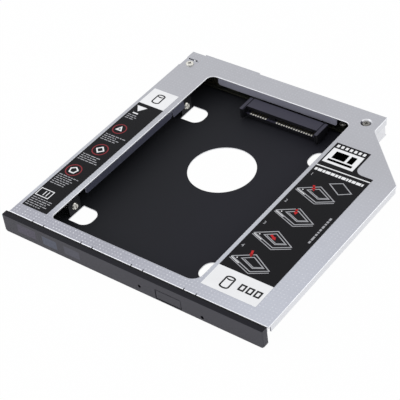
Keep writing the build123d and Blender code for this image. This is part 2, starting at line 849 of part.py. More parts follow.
for name, piece in {
    "top_frame": top_frame,
    "bottom_tray": bottom_tray,
    "front_bezel": front_bezel,
    "eject_button": eject_button,
    "adapter_board": adapter_board,
    "board_capacitors": board_capacitors,
    "drive_receptacle": drive_receptacle,
    "drive_signal_contacts": drive_signal_contacts,
    "drive_power_contacts": drive_power_contacts,
    "host_plug": host_plug,
    "host_signal_contacts": host_signal_contacts,
    "host_power_contacts": host_power_contacts,
    "top_screw_left": top_screw_left,
    "top_screw_right": top_screw_right,
    "board_screw_left": board_screw_left,
    "board_screw_right": board_screw_right,
    "locating_screw_front": locating_screw_front,
    "locating_screw_rear": locating_screw_rear,
    "left_label": left_label,
    "right_label": right_label,
}.items():
    piece.part.label = name
    export_step(piece.part, f"parts/{name}.step")
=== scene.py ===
import math
import random

import bmesh
import bpy
from mathutils import Matrix, Vector


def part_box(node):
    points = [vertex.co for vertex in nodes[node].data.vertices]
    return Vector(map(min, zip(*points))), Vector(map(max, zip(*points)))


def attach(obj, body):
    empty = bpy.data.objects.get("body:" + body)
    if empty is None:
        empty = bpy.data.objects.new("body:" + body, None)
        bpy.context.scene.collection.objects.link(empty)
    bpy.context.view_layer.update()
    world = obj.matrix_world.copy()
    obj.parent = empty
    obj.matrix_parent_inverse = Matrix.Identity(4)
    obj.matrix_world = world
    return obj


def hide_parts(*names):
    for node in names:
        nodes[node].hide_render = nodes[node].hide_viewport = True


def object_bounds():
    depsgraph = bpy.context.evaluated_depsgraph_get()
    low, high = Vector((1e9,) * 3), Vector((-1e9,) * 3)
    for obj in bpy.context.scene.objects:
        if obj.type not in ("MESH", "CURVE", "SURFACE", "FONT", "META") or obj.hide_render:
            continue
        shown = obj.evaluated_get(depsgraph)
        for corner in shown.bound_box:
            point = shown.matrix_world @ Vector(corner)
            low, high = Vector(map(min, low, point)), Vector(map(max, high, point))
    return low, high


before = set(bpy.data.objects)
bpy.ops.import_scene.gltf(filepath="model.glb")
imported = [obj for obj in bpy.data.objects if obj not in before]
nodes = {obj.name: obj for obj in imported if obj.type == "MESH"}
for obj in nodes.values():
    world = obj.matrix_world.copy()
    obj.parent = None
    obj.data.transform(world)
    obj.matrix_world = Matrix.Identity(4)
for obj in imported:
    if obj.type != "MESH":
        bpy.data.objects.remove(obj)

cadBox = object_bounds()
mm = 0.001
random.seed(11)
frameLow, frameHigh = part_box("top_frame")
trayLow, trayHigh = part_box("bottom_tray")
plateLow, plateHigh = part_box("front_bezel")
print("frame loaded:", len(nodes), "pieces")


# Small helpers for shader trees

def paint(red, green, blue):
    # Colour as it looks, 0 to 255, turned into the linear values that a socket takes
    tones = [tone / 255 for tone in (red, green, blue)]
    linear = [t / 12.92 if t <= 0.04045 else ((t + 0.055) / 1.055) ** 2.4 for t in tones]
    return (*linear, 1.0)


def feed(tree, socket, value):
    if isinstance(value, bpy.types.NodeSocket):
        tree.links.new(value, socket)
    else:
        socket.default_value = value


def calc(tree, operation, *values):
    node = tree.nodes.new("ShaderNodeMath")
    node.operation = operation
    for socket, value in zip(node.inputs, values):
        feed(tree, socket, value)
    return node.outputs[0]


def ramp(tree, value, low, high):
    # 0 below low, 1 above high, smooth between
    node = tree.nodes.new("ShaderNodeMapRange")
    node.interpolation_type = "SMOOTHSTEP"
    feed(tree, node.inputs["Value"], value)
    feed(tree, node.inputs["From Min"], low)
    feed(tree, node.inputs["From Max"], high)
    return node.outputs["Result"]


def blendColour(tree, amount, first, second):
    node = tree.nodes.new("ShaderNodeMix")
    node.data_type = "RGBA"
    # Inputs 6 and 7 and output 2 are the colour ones
    feed(tree, node.inputs[0], amount)
    feed(tree, node.inputs[6], first)
    feed(tree, node.inputs[7], second)
    return node.outputs[2]


def noise(tree, vector, scale, detail=2.0, roughness=0.5):
    node = tree.nodes.new("ShaderNodeTexNoise")
    feed(tree, node.inputs["Vector"], vector)
    feed(tree, node.inputs["Scale"], scale)
    node.inputs["Detail"].default_value = detail
    node.inputs["Roughness"].default_value = roughness
    return node.outputs["Fac"]


def newGroup(name, inputs, outputs):
    group = bpy.data.node_groups.new(name, "ShaderNodeTree")
    for label, kind, value in inputs:
        socket = group.interface.new_socket(label, in_out="INPUT", socket_type=kind)
        if value is not None:
            socket.default_value = value
    for label, kind in outputs:
        group.interface.new_socket(label, in_out="OUTPUT", socket_type=kind)
    return group, group.nodes.new("NodeGroupInput"), group.nodes.new("NodeGroupOutput")


def useGroup(tree, group, values):
    node = tree.nodes.new("ShaderNodeGroup")
    node.node_tree = group
    for label, value in values.items():
        feed(tree, node.inputs[label], value)
    return node.outputs


# Effects that several finishes share

def makeBand():
    # 1 where the value lies between two limits, with soft ends
    group, given, result = newGroup(
        "band",
        [("Value", "NodeSocketFloat", None), ("Low", "NodeSocketFloat", 0.0),
         ("High", "NodeSocketFloat", 1.0), ("Soft", "NodeSocketFloat", 0.0001)],
        [("Mask", "NodeSocketFloat")],
    )
    value, low, high, soft = (given.outputs[name] for name in ("Value", "Low", "High", "Soft"))
    rise = ramp(group, value, calc(group, "SUBTRACT", low, soft), low)
    fall = ramp(group, value, high, calc(group, "ADD", high, soft))
    mask = calc(group, "MULTIPLY", rise, calc(group, "SUBTRACT", 1.0, fall))
    group.links.new(mask, result.inputs["Mask"])
    return group


def makeGrain():
    # Fine grain and broad drift in the shade, with a height for bump
    group, given, result = newGroup(
        "surfaceGrain",
        [("Vector", "NodeSocketVector", None), ("Grain Size", "NodeSocketFloat", 0.0004),
         ("Drift Size", "NodeSocketFloat", 0.02), ("Grain", "NodeSocketFloat", 0.1),
         ("Drift", "NodeSocketFloat", 0.1)],
        [("Shade", "NodeSocketFloat"), ("Height", "NodeSocketFloat"), ("Smudge", "NodeSocketFloat")],
    )
    vector = given.outputs["Vector"]
    fine = noise(group, vector, calc(group, "DIVIDE", 1.0, given.outputs["Grain Size"]), 3.0, 0.6)
    broad = noise(group, vector, calc(group, "DIVIDE", 1.0, given.outputs["Drift Size"]), 2.0)
    fineShade = calc(group, "MULTIPLY", calc(group, "SUBTRACT", fine, 0.5), given.outputs["Grain"])
    broadShade = calc(group, "MULTIPLY", calc(group, "SUBTRACT", broad, 0.5), given.outputs["Drift"])
    shade = calc(group, "ADD", calc(group, "ADD", fineShade, broadShade), 1.0)
    group.links.new(shade, result.inputs["Shade"])
    group.links.new(fine, result.inputs["Height"])
    group.links.new(broad, result.inputs["Smudge"])
    return group


def makeDots():
    # Square rows of small raised dots, pressed into the sheet, some fainter than others
    group, given, result = newGroup(
        "pressedDots",
        [("Vector", "NodeSocketVector", None), ("Pitch", "NodeSocketFloat", 0.0015),
         ("Radius", "NodeSocketFloat", 0.0004), ("Uneven", "NodeSocketFloat", 0.5)],
        [("Mask", "NodeSocketFloat")],
    )
    split = group.nodes.new("ShaderNodeSeparateXYZ")
    group.links.new(given.outputs["Vector"], split.inputs[0])
    cell = group.nodes.new("ShaderNodeCombineXYZ")
    offsets = []
    for axis in range(2):
        place = calc(group, "DIVIDE", split.outputs[axis], given.outputs["Pitch"])
        group.links.new(calc(group, "FLOOR", place), cell.inputs[axis])
        offset = calc(group, "SUBTRACT", calc(group, "FRACT", place), 0.5)
        offsets.append(calc(group, "POWER", calc(group, "ABSOLUTE", offset), 2.0))
    reach = calc(group, "MULTIPLY", calc(group, "SQRT", calc(group, "ADD", *offsets)), given.outputs["Pitch"])
    falloff = ramp(group, reach, calc(group, "MULTIPLY", given.outputs["Radius"], 0.3),
                   given.outputs["Radius"])
    chance = group.nodes.new("ShaderNodeTexWhiteNoise")
    chance.noise_dimensions = "2D"
    group.links.new(cell.outputs[0], chance.inputs["Vector"])
    fainter = calc(group, "MULTIPLY", chance.outputs["Value"], given.outputs["Uneven"])
    mask = calc(group, "MULTIPLY", calc(group, "SUBTRACT", 1.0, falloff),
                calc(group, "SUBTRACT", 1.0, fainter))
    group.links.new(mask, result.inputs["Mask"])
    return group


band = makeBand()
surfaceGrain = makeGrain()
pressedDots = makeDots()


class Finish:
    # A material with its tree, its shader and the point's place on the object
    def __init__(self, name, roughness, metallic=0.0, specular=0.5, coat=0.0):
        self.material = bpy.data.materials.new(name)
        self.material.use_nodes = True
        self.tree = self.material.node_tree
        self.shader = self.tree.nodes["Principled BSDF"]
        self.shader.inputs["Roughness"].default_value = roughness
        self.shader.inputs["Metallic"].default_value = metallic
        self.shader.inputs["Specular IOR Level"].default_value = specular
        self.shader.inputs["Coat Weight"].default_value = coat
        self.vector = self.tree.nodes.new("ShaderNodeTexCoord").outputs["Object"]
        split = self.tree.nodes.new("ShaderNodeSeparateXYZ")
        self.tree.links.new(self.vector, split.inputs[0])
        self.x, self.y, self.z = split.outputs

    def within(self, value, low, high, soft=0.0001):
        return useGroup(self.tree, band, {"Value": value, "Low": low, "High": high, "Soft": soft})["Mask"]

    def grain(self, sizes):
        # Sizes of the grain and the drift, then the strength of each
        labels = ("Grain Size", "Drift Size", "Grain", "Drift")
        return useGroup(self.tree, surfaceGrain, {"Vector": self.vector, **dict(zip(labels, sizes))})

    def facing(self, axis):
        # How far the surface faces along X, Y or Z, from -1 to 1
        split = self.tree.nodes.new("ShaderNodeSeparateXYZ")
        normal = self.tree.nodes.new("ShaderNodeNewGeometry").outputs["Normal"]
        self.tree.links.new(normal, split.inputs[0])
        return split.outputs[axis]

    def forward(self, low, high):
        # 1 where the surface faces the front, which is -Y
        return ramp(self.tree, calc(self.tree, "MULTIPLY", self.facing(1), -1.0), low, high)

    def invert(self, mask):
        return calc(self.tree, "SUBTRACT", 1.0, mask)

    def reach(self, centre, axis):
        # Distance from the line through the centre along X, Y or Z
        squares = []
        for i, (place, middle) in enumerate(zip((self.x, self.y, self.z), centre)):
            if i != axis:
                offset = calc(self.tree, "SUBTRACT", place, middle)
                squares.append(self.times(offset, offset))
        return calc(self.tree, "SQRT", calc(self.tree, "ADD", *squares))

    def bump(self, height, distance, strength=1.0):
        node = self.tree.nodes.new("ShaderNodeBump")
        node.inputs["Strength"].default_value = strength
        node.inputs["Distance"].default_value = distance
        feed(self.tree, node.inputs["Height"], height)
        feed(self.tree, self.shader.inputs["Normal"], node.outputs["Normal"])

    def shaded(self, colour, shade):
        # The colour, lighter or darker by a shade about 1
        node = self.tree.nodes.new("ShaderNodeVectorMath")
        node.operation = "SCALE"
        feed(self.tree, node.inputs[0], colour if isinstance(colour, bpy.types.NodeSocket) else colour[:3])
        feed(self.tree, node.inputs["Scale"], shade)
        return node.outputs[0]

    def colour(self, value):
        feed(self.tree, self.shader.inputs["Base Color"], value)

    def mix(self, amount, first, second):
        return blendColour(self.tree, amount, first, second)

    def times(self, *masks):
        product = masks[0]
        for mask in masks[1:]:
            product = calc(self.tree, "MULTIPLY", product, mask)
        return product

    def vary(self, socket, value, spread, by):
        # A socket's value, moved up and down by a mask from 0 to 1
        moved = calc(self.tree, "MULTIPLY_ADD", by, spread, value - spread / 2)
        feed(self.tree, self.shader.inputs[socket], moved)


frameSheet = {
    "front": paint(166, 167, 177), "side": paint(188, 191, 199), "wing": paint(192, 195, 205),
    # The rim colour is a painted highlight on the rolled edges and the right lip
    "rear": paint(181, 182, 188), "dot": paint(230, 231, 236), "rim": paint(226, 227, 231),
    # The flange colours are painted shade and painted light
    "sideFlangeShade": paint(84, 86, 102), "rearFlangeLit": paint(154, 154, 168), "frontStrip": (4.0 * mm, 16.0 * mm),
    "dotPitch": 1.52 * mm, "dotRadius": 0.45 * mm, "dotHeight": 0.03 * mm, "dotUneven": 0.85,
    "dotStrength": 0.75, "sheen": 0.9, "lipStart": 95.0 * mm, "roughness": 0.42, "polish": 0.04,
    # Shares of the frame's width and depth where the tone changes, and how far the dots fade there
    "acrossFrom": 0.35, "alongReach": (0.1, 0.85), "dotFadeRear": 0.7, "dotFadeRight": 0.45,
    # Left, right, front and rear margins of the area that holds the window and its flanges
    "flangeMargin": (17.0 * mm, 36.5 * mm, 5.2 * mm, 10.3 * mm),
    "dishReach": (2.44 * mm, 2.5 * mm), "dishShade": paint(88, 88, 96),
    # Depths under the top face: the rolled look ends, and the flanges' and the dish's begin, between them
    "rolledDepth": (0.7 * mm, 0.5 * mm), "flangeDepth": (0.75 * mm, 0.45 * mm),
    "dishDepth": (0.15 * mm, 0.08 * mm),
    "grain": (0.35 * mm, 18 * mm, 0.22, 0.1),
}


def makeFrameMetal():
    look = Finish("frameMetal", frameSheet["roughness"])
    tree = look.tree

    def nearTop(depths):
        # 1 from the top face down to the shallow depth, 0 below the deep one
        deep, shallow = frameSheet[depths]
        return ramp(tree, look.z, frameHigh.z - deep, frameHigh.z - shallow)

    width, depth = frameHigh.x - frameLow.x, frameHigh.y - frameLow.y
    across = ramp(tree, look.x, frameLow.x + frameSheet["acrossFrom"] * width, frameHigh.x)
    along = ramp(tree, look.y, *[frameLow.y + share * depth for share in frameSheet["alongReach"]])
    start, end = frameSheet["frontStrip"]
    behind = ramp(tree, look.y, frameLow.y + start, frameLow.y + end)
    tone = look.mix(behind, frameSheet["front"], frameSheet["side"])
    tone = look.mix(across, tone, frameSheet["wing"])
    tone = look.mix(along, tone, frameSheet["rear"])
    grain = look.grain(frameSheet["grain"])
    tone = look.shaded(tone, grain["Shade"])
    dots = useGroup(tree, pressedDots, {
        "Vector": look.vector, "Pitch": frameSheet["dotPitch"], "Radius": frameSheet["dotRadius"],
        "Uneven": frameSheet["dotUneven"]})["Mask"]
    flat = ramp(tree, look.facing(2), 0.9, 0.99)
    # The dots fade towards the rear and the right
    fade = look.times(calc(tree, "MULTIPLY_ADD", along, -frameSheet["dotFadeRear"], 1.0),
                      calc(tree, "MULTIPLY_ADD", across, -frameSheet["dotFadeRight"], 1.0))
    tone = look.mix(look.times(dots, flat, fade, frameSheet["dotStrength"]), tone, frameSheet["dot"])
    # Rolled edges and the folded lip along the right side get a painted highlight in their colour, and a
    # lower roughness
    rolled = look.times(look.invert(ramp(tree, look.facing(2), 0.8, 0.99)), nearTop("rolledDepth"))
    lipStart = frameLow.x + frameSheet["lipStart"]
    lip = look.times(ramp(tree, look.facing(0), 0.5, 0.9), ramp(tree, look.x, lipStart, lipStart + 1 * mm))
    polishAndHighlight = calc(tree, "MAXIMUM", rolled, lip)
    tone = look.mix(look.times(polishAndHighlight, 0.95), tone, frameSheet["rim"])
    # The dish round the right screw is in shade, apart from its far wall
    low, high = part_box("top_screw_right")
    dish = look.invert(ramp(tree, look.reach((low + high) / 2, 2), *frameSheet["dishReach"]))
    near = ramp(tree, look.facing(1), -0.25, -0.02)
    shadow = look.times(dish, look.invert(nearTop("dishDepth")), near)
    tone = look.mix(shadow, tone, frameSheet["dishShade"])
    # The flanges under the window's rim are painted dark, as shade of the black tray they mirror; those
    # facing the front are painted lighter, as lit
    left, right, front, rear = frameSheet["flangeMargin"]
    flange = look.times(
        look.invert(nearTop("flangeDepth")),
        look.within(look.x, frameLow.x + left, frameHigh.x - right),
        look.within(look.y, frameLow.y + front, frameHigh.y - rear),
    )
    flangeShading = look.mix(look.forward(0.4, 0.8), frameSheet["sideFlangeShade"], frameSheet["rearFlangeLit"])
    look.colour(look.mix(flange, tone, look.shaded(flangeShading, grain["Shade"])))
    # Flanges scatter the light, and the rolled edges mirror it more than the flat sheet
    scatter = calc(tree, "MULTIPLY_ADD", flange, -0.85, 1.0)
    feed(tree, look.shader.inputs["Metallic"], look.times(scatter, frameSheet["sheen"]))
    smudged = calc(tree, "MULTIPLY_ADD", grain["Smudge"], 0.2, frameSheet["roughness"] - 0.1)
    feed(tree, look.shader.inputs["Roughness"],
         calc(tree, "SUBTRACT", smudged, look.times(polishAndHighlight, frameSheet["polish"])))
    height = calc(tree, "ADD", look.times(dots, fade), look.times(grain["Height"], 0.35))
    look.bump(height, frameSheet["dotHeight"], 0.8)
    return look.material


traySheet = {
    "lining": paint(35, 35, 42), "liningLeft": paint(32, 33, 36), "bare": paint(238, 238, 240),
    "sheet": 0.5 * mm, "bareSheen": 0.4, "grain": (0.25 * mm, 30 * mm, 0.2, 0.25),
}


def makeTrayFinish():
    # Black lining inside, bare sheet on the outside and on cut edges
    look = Finish("trayFinish", 0.5, specular=0.1)
    tree = look.tree
    grain = look.grain(traySheet["grain"])
    sheet = traySheet["sheet"] * 0.9  # a little less, so that the lining covers the whole inner face
    inside = look.times(
        look.within(look.x, trayLow.x + sheet, trayHigh.x - sheet, 0.05 * mm),
        look.within(look.y, trayLow.y + sheet, trayHigh.y - sheet, 0.05 * mm),
        ramp(tree, look.z, trayLow.z + sheet - 0.03 * mm, trayLow.z + sheet),
    )
    across = ramp(tree, look.x, trayLow.x, trayHigh.x)
    lining = look.mix(across, traySheet["liningLeft"], traySheet["lining"])
    lining = look.shaded(lining, grain["Shade"])
    bare = look.shaded(traySheet["bare"], grain["Shade"])
    look.colour(look.mix(inside, bare, lining))
    feed(tree, look.shader.inputs["Metallic"], look.times(look.invert(inside), traySheet["bareSheen"]))
    rough = calc(tree, "MULTIPLY_ADD", inside, 0.16, 0.36)
    feed(tree, look.shader.inputs["Roughness"], calc(tree, "MULTIPLY_ADD", grain["Smudge"], 0.12, rough))
    look.bump(grain["Height"], 0.01 * mm, 0.6)
    return look.material


faceplate = {
    # The top colour is painted shade on the upward faces
    "front": paint(76, 75, 80), "top": paint(22, 22, 29), "button": paint(76, 75, 80),
    # The foot colour is a painted shade band along the bottom of the front
    "bore": paint(10, 10, 12), "foot": paint(58, 57, 62), "footHeight": 0.55 * mm,
    "seam": (0.75 * mm, 0.5 * mm), "boreDepth": (0.25 * mm, 0.5 * mm), "endMargin": 3.0 * mm,
    # Faint plain patches on the left, each from, to, bottom and top in mm from the frame's left edge
    "patches": (((6.5, 16.0, 3.0, 7.2), paint(98, 93, 106)),
                ((20.0, 27.2, 2.6, 6.6), paint(100, 105, 120)),
                ((31.5, 39.2, 2.8, 6.6), paint(98, 98, 108))),
    "patchStrength": 0.6, "patchSoft": 0.3 * mm, "roughness": 0.55,
    "grain": (0.22 * mm, 14 * mm, 0.3, 0.1),
}


def makePlastic(name, base):
    look = Finish(name, faceplate["roughness"], specular=0.15)
    tree = look.tree
    grain = look.grain(faceplate["grain"])
    tone = look.shaded(base, grain["Shade"])
    forward, soft = look.forward(0.8, 0.95), faceplate["patchSoft"]
    for (left, right, bottom, top), shade in faceplate["patches"]:
        patch = look.times(
            look.within(look.x, frameLow.x + left * mm, frameLow.x + right * mm, soft),
            look.within(look.z, bottom * mm, top * mm, soft),
            forward,
        )
        tone = look.mix(look.times(patch, faceplate["patchStrength"]), tone, shade)
    # Painted shade along the bottom of the front, where the face curves under
    foot = look.invert(ramp(tree, look.z, 0.0, faceplate["footHeight"]))
    tone = look.mix(foot, tone, faceplate["foot"])
    # Upward faces are painted darker, as painted shade
    upper = ramp(tree, look.facing(2), 0.55, 0.85)
    tone = look.mix(upper, tone, faceplate["top"])
    # The seam along the frame, the holes and the button's gap are in deep shade
    start, full = faceplate["seam"]
    seam = look.times(upper, ramp(tree, look.y, frameLow.y - start, frameLow.y - full))
    shallow, deep = faceplate["boreDepth"]
    bore = look.times(
        ramp(tree, look.y, plateLow.y + shallow, plateLow.y + deep),
        look.within(look.x, plateLow.x + faceplate["endMargin"], plateHigh.x - faceplate["endMargin"]),
        look.within(look.z, 0.3 * mm, plateHigh.z - 0.4 * mm),
    )
    tone = look.mix(calc(tree, "MAXIMUM", seam, bore), tone, faceplate["bore"])
    look.colour(tone)
    look.vary("Roughness", faceplate["roughness"], 0.15, grain["Smudge"])
    look.bump(grain["Height"], 0.02 * mm, 0.7)
    return look.material


socketMould = {
    # The top colour is painted light on the upward faces
    "side": paint(22, 22, 26), "top": paint(56, 55, 68), "roughness": 0.45,
    "grain": (0.3 * mm, 8 * mm, 0.16, 0.3),
}


def makeSocketPlastic():
    # Moulded black, with painted light on the upward faces
    look = Finish("socketPlastic", socketMould["roughness"], specular=0.2)
    grain = look.grain(socketMould["grain"])
    upper = ramp(look.tree, look.facing(2), 0.6, 0.9)
    tone = look.mix(upper, socketMould["side"], socketMould["top"])
    look.colour(look.shaded(tone, grain["Shade"]))
    look.vary("Roughness", socketMould["roughness"], 0.12, grain["Smudge"])
    look.bump(grain["Height"], 0.01 * mm, 0.5)
    return look.material


boardMask = {
    "mask": paint(26, 28, 25), "run": paint(44, 46, 38), "edge": paint(38, 37, 31),
    "runPitch": 0.64 * mm, "runReach": (0.2 * mm, 0.44 * mm), "runStrength": 0.6,
    "grain": (0.3 * mm, 10 * mm, 0.12, 0.2),
}


def makeBoardLaminate():
    # Black mask over copper runs that show a little lighter
    look = Finish("boardLaminate", 0.35, specular=0.4, coat=0.2)
    tree = look.tree
    grain = look.grain(boardMask["grain"])
    run = calc(tree, "PINGPONG", look.x, boardMask["runPitch"])
    runs = look.within(run, *boardMask["runReach"], 0.03 * mm)
    flat = ramp(tree, calc(tree, "ABSOLUTE", look.facing(2)), 0.5, 0.9)
    mask = look.mix(look.times(runs, boardMask["runStrength"]), boardMask["mask"], boardMask["run"])
    tone = look.mix(flat, boardMask["edge"], mask)
    look.colour(look.shaded(tone, grain["Shade"]))
    look.bump(look.times(runs, flat), 0.02 * mm, 0.6)
    return look.material


contactFinish = {
    # The pale gold holds a painted highlight, and the shade colour is painted shade
    "goldHighlight": paint(252, 249, 236), "shade": paint(58, 55, 42), "tip": (0.5 * mm, 0.85 * mm),
    "roughness": 0.32, "grain": (0.2 * mm, 5 * mm, 0.2, 0.2),
}


def makeContactMetal(node, rearward=False):
    # Pale gold at the end that the other plug touches, painted near white there as a highlight, with painted
    # shade further in
    look = Finish(node + "Gold", contactFinish["roughness"], metallic=0.15)
    low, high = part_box(node)
    if rearward:
        inward = calc(look.tree, "SUBTRACT", high.y, look.y)
    else:
        inward = calc(look.tree, "SUBTRACT", look.y, low.y)
    inner = ramp(look.tree, inward, *contactFinish["tip"])
    tone = look.mix(inner, contactFinish["goldHighlight"], contactFinish["shade"])
    grain = look.grain(contactFinish["grain"])
    look.colour(look.shaded(tone, grain["Shade"]))
    look.vary("Roughness", contactFinish["roughness"], 0.12, grain["Smudge"])
    return look.material


screwFinish = {
    "bright": paint(226, 224, 216), "shade": paint(62, 60, 56),
    "dull": paint(132, 130, 126), "dishShadeNode": "top_screw_right",  # painted darker, as shade of the dish it sits in
    "slotDepth": (0.1 * mm, 0.22 * mm), "slotReach": (0.98 * mm, 1.04 * mm),
    "roughness": 0.3, "grain": (0.12 * mm, 1.6 * mm, 0.18, 0.35),
}


def makeScrewMetal(node, axis):
    # Nickel, with painted shade down in the cross, in the slot, and on the small screws' hidden shanks
    look = Finish(node + "Nickel", screwFinish["roughness"], metallic=0.6)
    tree = look.tree
    grain = look.grain(screwFinish["grain"])
    low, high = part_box(node)
    along = (look.x, look.y, look.z)[axis]
    depth = calc(tree, "MINIMUM", calc(tree, "SUBTRACT", high[axis], along),
                 calc(tree, "SUBTRACT", along, low[axis]))
    reach = look.reach((low + high) / 2, axis)
    sunk = look.times(ramp(tree, depth, *screwFinish["slotDepth"]),
                      look.invert(ramp(tree, reach, *screwFinish["slotReach"])))
    nickel = screwFinish["dull" if node == screwFinish["dishShadeNode"] else "bright"]
    tone = look.mix(sunk, nickel, screwFinish["shade"])
    look.colour(look.shaded(tone, grain["Shade"]))
    look.vary("Roughness", screwFinish["roughness"], 0.2, grain["Smudge"])
    look.bump(grain["Height"], 0.008 * mm, 0.5)
    return look.material


capacitor = {
    "count": 6, "length": 1.6 * mm, "body": (0.22, 0.78),  # share of the length between the tinned ends
    "tin": paint(205, 204, 200), "ceramic": paint(150, 118, 84), "sheen": 0.9,
    "grain": (0.15 * mm, 2 * mm, 0.15, 0.2),
}


def makeCapacitorCeramic():
    # Brown bodies with tinned ends
    look = Finish("capacitorCeramic", 0.45)
    tree = look.tree
    low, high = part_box("board_capacitors")
    length = capacitor["length"]
    pitch = (high.x - low.x - length) / (capacitor["count"] - 1)
    place = calc(tree, "FLOORED_MODULO", calc(tree, "SUBTRACT", look.x, low.x), pitch)
    middle = look.within(place, *[share * length for share in capacitor["body"]], 0.03 * mm)
    grain = look.grain(capacitor["grain"])
    tone = look.mix(middle, capacitor["tin"], capacitor["ceramic"])
    look.colour(look.shaded(tone, grain["Shade"]))
    feed(tree, look.shader.inputs["Metallic"], look.times(look.invert(middle), capacitor["sheen"]))
    return look.material


labelFilm = {
    "black": paint(20, 20, 23), "white": paint(246, 246, 246), "grey": paint(172, 172, 175),
    "red": paint(196, 44, 46), "ringRed": paint(138, 52, 58), "ink": paint(28, 28, 30),
    "inkHeight": 0.03 * mm, "roughness": 0.38, "grain": (0.5 * mm, 9 * mm, 0.08, 0.12),
}


def makeFilm(name, base, field=None):
    # Printed film: a base colour, with a white field at one end where the label has one
    look = Finish(name, labelFilm["roughness"], specular=0.08)
    grain = look.grain(labelFilm["grain"])
    tone = base
    if field:
        tone = look.mix(look.within(look.y, field[0], field[1], 0.02 * mm), base, labelFilm["white"])
    look.colour(look.shaded(tone, grain["Shade"]))
    look.vary("Roughness", labelFilm["roughness"], 0.1, grain["Smudge"])
    look.bump(grain["Height"], 0.006 * mm, 0.5)
    return look.material


leftLow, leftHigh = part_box("left_label")
rightLow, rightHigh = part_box("right_label")
leftPrint = {
    "fieldLength": 11.3,     # white field at the rear end
    "drum": {"centre": (6.4, 82.9), "width": 4.3, "height": 6.7, "lid": 2.3, "stroke": 0.65},
    "rings": ((4.5, 58.0, 3.3, 3), (6.1, 42.9, 3.7, 4), (4.9, 26.9, 3.7, 5)),
    "ringStroke": 0.5, "innerShare": 0.62, "innerStroke": 0.6,
    "wedge": ((0.9, 75.2), (3.6, 71.6), (6.3, 75.2)), "wedgeFoot": (2.2, 5.0, 69.7, 70.4),
    "frame": (0.5, 7.6, 7.2, 12.0), "frameStroke": 0.4, "frameBars": (4.0, 5.6), "barReach": (8.2, 11.0),
    # Lines of small bars, each block from, to, first line and number of lines
    "lines": ((1.0, 7.2, 68.4, 3), (1.0, 12.0, 52.9, 4), (1.0, 12.0, 37.7, 4), (1.0, 11.4, 22.4, 6),
              (0.8, 12.0, 6.0, 5)),
    "lineStep": 1.2, "lineWidth": 0.42, "ragged": 0.35,  # share by which a line may fall short
}
rightPrint = {
    "fieldLength": 11.8,     # white field at the front end
    "rule": ((0.0, 79.4), (25.1, 79.9), 0.55),
    "drum": {"centre": (8.55, 5.3), "width": 4.5, "height": 6.9, "lid": 2.3, "stroke": 0.7},
    # Small upright boxes, "drop" and "tall" as shares of their width
    "signs": {"first": 13.8, "step": 3.55, "size": 2.8, "middle": 5.6, "stroke": 0.75, "count": 3,
              "drop": 0.6, "tall": 1.25},
    "drawings": (13.0, 28.1, 43.2, 58.3), "numbers": (24.1, 38.9, 53.9, 72.6), "numberSize": 2.4,
    "drawingLeft": 1.2, "card": ((11.0, 71.5), (17.9, 67.3), (22.6, 70.5), (16.0, 74.5)), "cardStroke": 0.42,
    # Arrows, each its tip and its turn in degrees
    "arrows": (((8.2, 64.7), -60), ((9.6, 49.3), -70), ((11.2, 33.3), -30), ((8.2, 20.9), -70)),
    "heading": (0.9, 23.6, 77.0), "headingHeight": 1.5, "headingGap": 0.35,
    # A column of small bars: its left edge, bottom and top
    "side": (22.7, 38.3, 53.0), "sideWidth": 0.9, "sideLength": (0.8, 2.6), "sideGap": 0.5,
    "block": (0.7, 15.2, 82.3, 91.8), "ticks": 7, "tickShare": (0.2, 0.8), "tickRise": (0.9, 2.5),
    # The plug's bar, long tongue and short tongue, as shares of the block's width and height
    "plug": ((0.1, 0.9, 0.14, 0.28), (0.16, 0.58, 0.36, 0.84), (0.66, 0.84, 0.36, 0.84)),
}


def inkFace(ink, points):
    face = ink.faces.new([ink.verts.new((x * mm, y * mm, 0.0)) for x, y in points])
    face.normal_update()
    return face


def inkOutline(ink, points, stroke):
    # A closed line of even width, just inside the points
    face = inkFace(ink, points)
    bmesh.ops.inset_region(ink, faces=[face], thickness=stroke * mm,
                           use_even_offset=True, use_boundary=True)
    bmesh.ops.delete(ink, geom=[face], context="FACES")


def inkPatch(ink, left, right, bottom, top):
    inkFace(ink, [(left, bottom), (right, bottom), (right, top), (left, top)])


def inkBar(ink, start, end, width):
    along = (Vector(end) - Vector(start)).normalized()
    side = Vector((-along.y, along.x)) * width / 2
    inkFace(ink, [Vector(start) - side, Vector(end) - side, Vector(end) + side, Vector(start) + side])


def arc(centre, reach, start, end, steps=12):
    angles = [math.radians(start + (end - start) * i / steps) for i in range(steps + 1)]
    return [(centre[0] + reach[0] * math.cos(a), centre[1] + reach[1] * math.sin(a)) for a in angles]


def inkDrum(ink, sign):
    # Plain upright cylinder in outline, the sign of a store
    x, y = sign["centre"]
    half, lid, stroke = sign["width"] / 2, sign["lid"] / 2, sign["stroke"]
    top, bottom = y + sign["height"] / 2 - lid, y - sign["height"] / 2 + lid
    outline = arc((x, top), (half, lid), 0, 180) + arc((x, bottom), (half, lid), 180, 360)
    inkOutline(ink, outline, stroke)
    reach = half - stroke * 0.8
    lower = arc((x, top), (reach, lid), 180, 360)
    upper = arc((x, top), (reach, lid - stroke), 360, 180)
    inkFace(ink, lower[:-1] + upper[:-1])


wordBars = {"length": (0.7, 2.4), "gap": 0.45, "least": 0.6}


def inkWords(ink, left, right, y, height, gap=wordBars["gap"]):
    # A line of print as small bars of uneven length
    x = left
    while x < right - wordBars["least"]:
        end = min(x + random.uniform(*wordBars["length"]), right)
        inkPatch(ink, x, end, y - height / 2, y + height / 2)
        x = end + gap


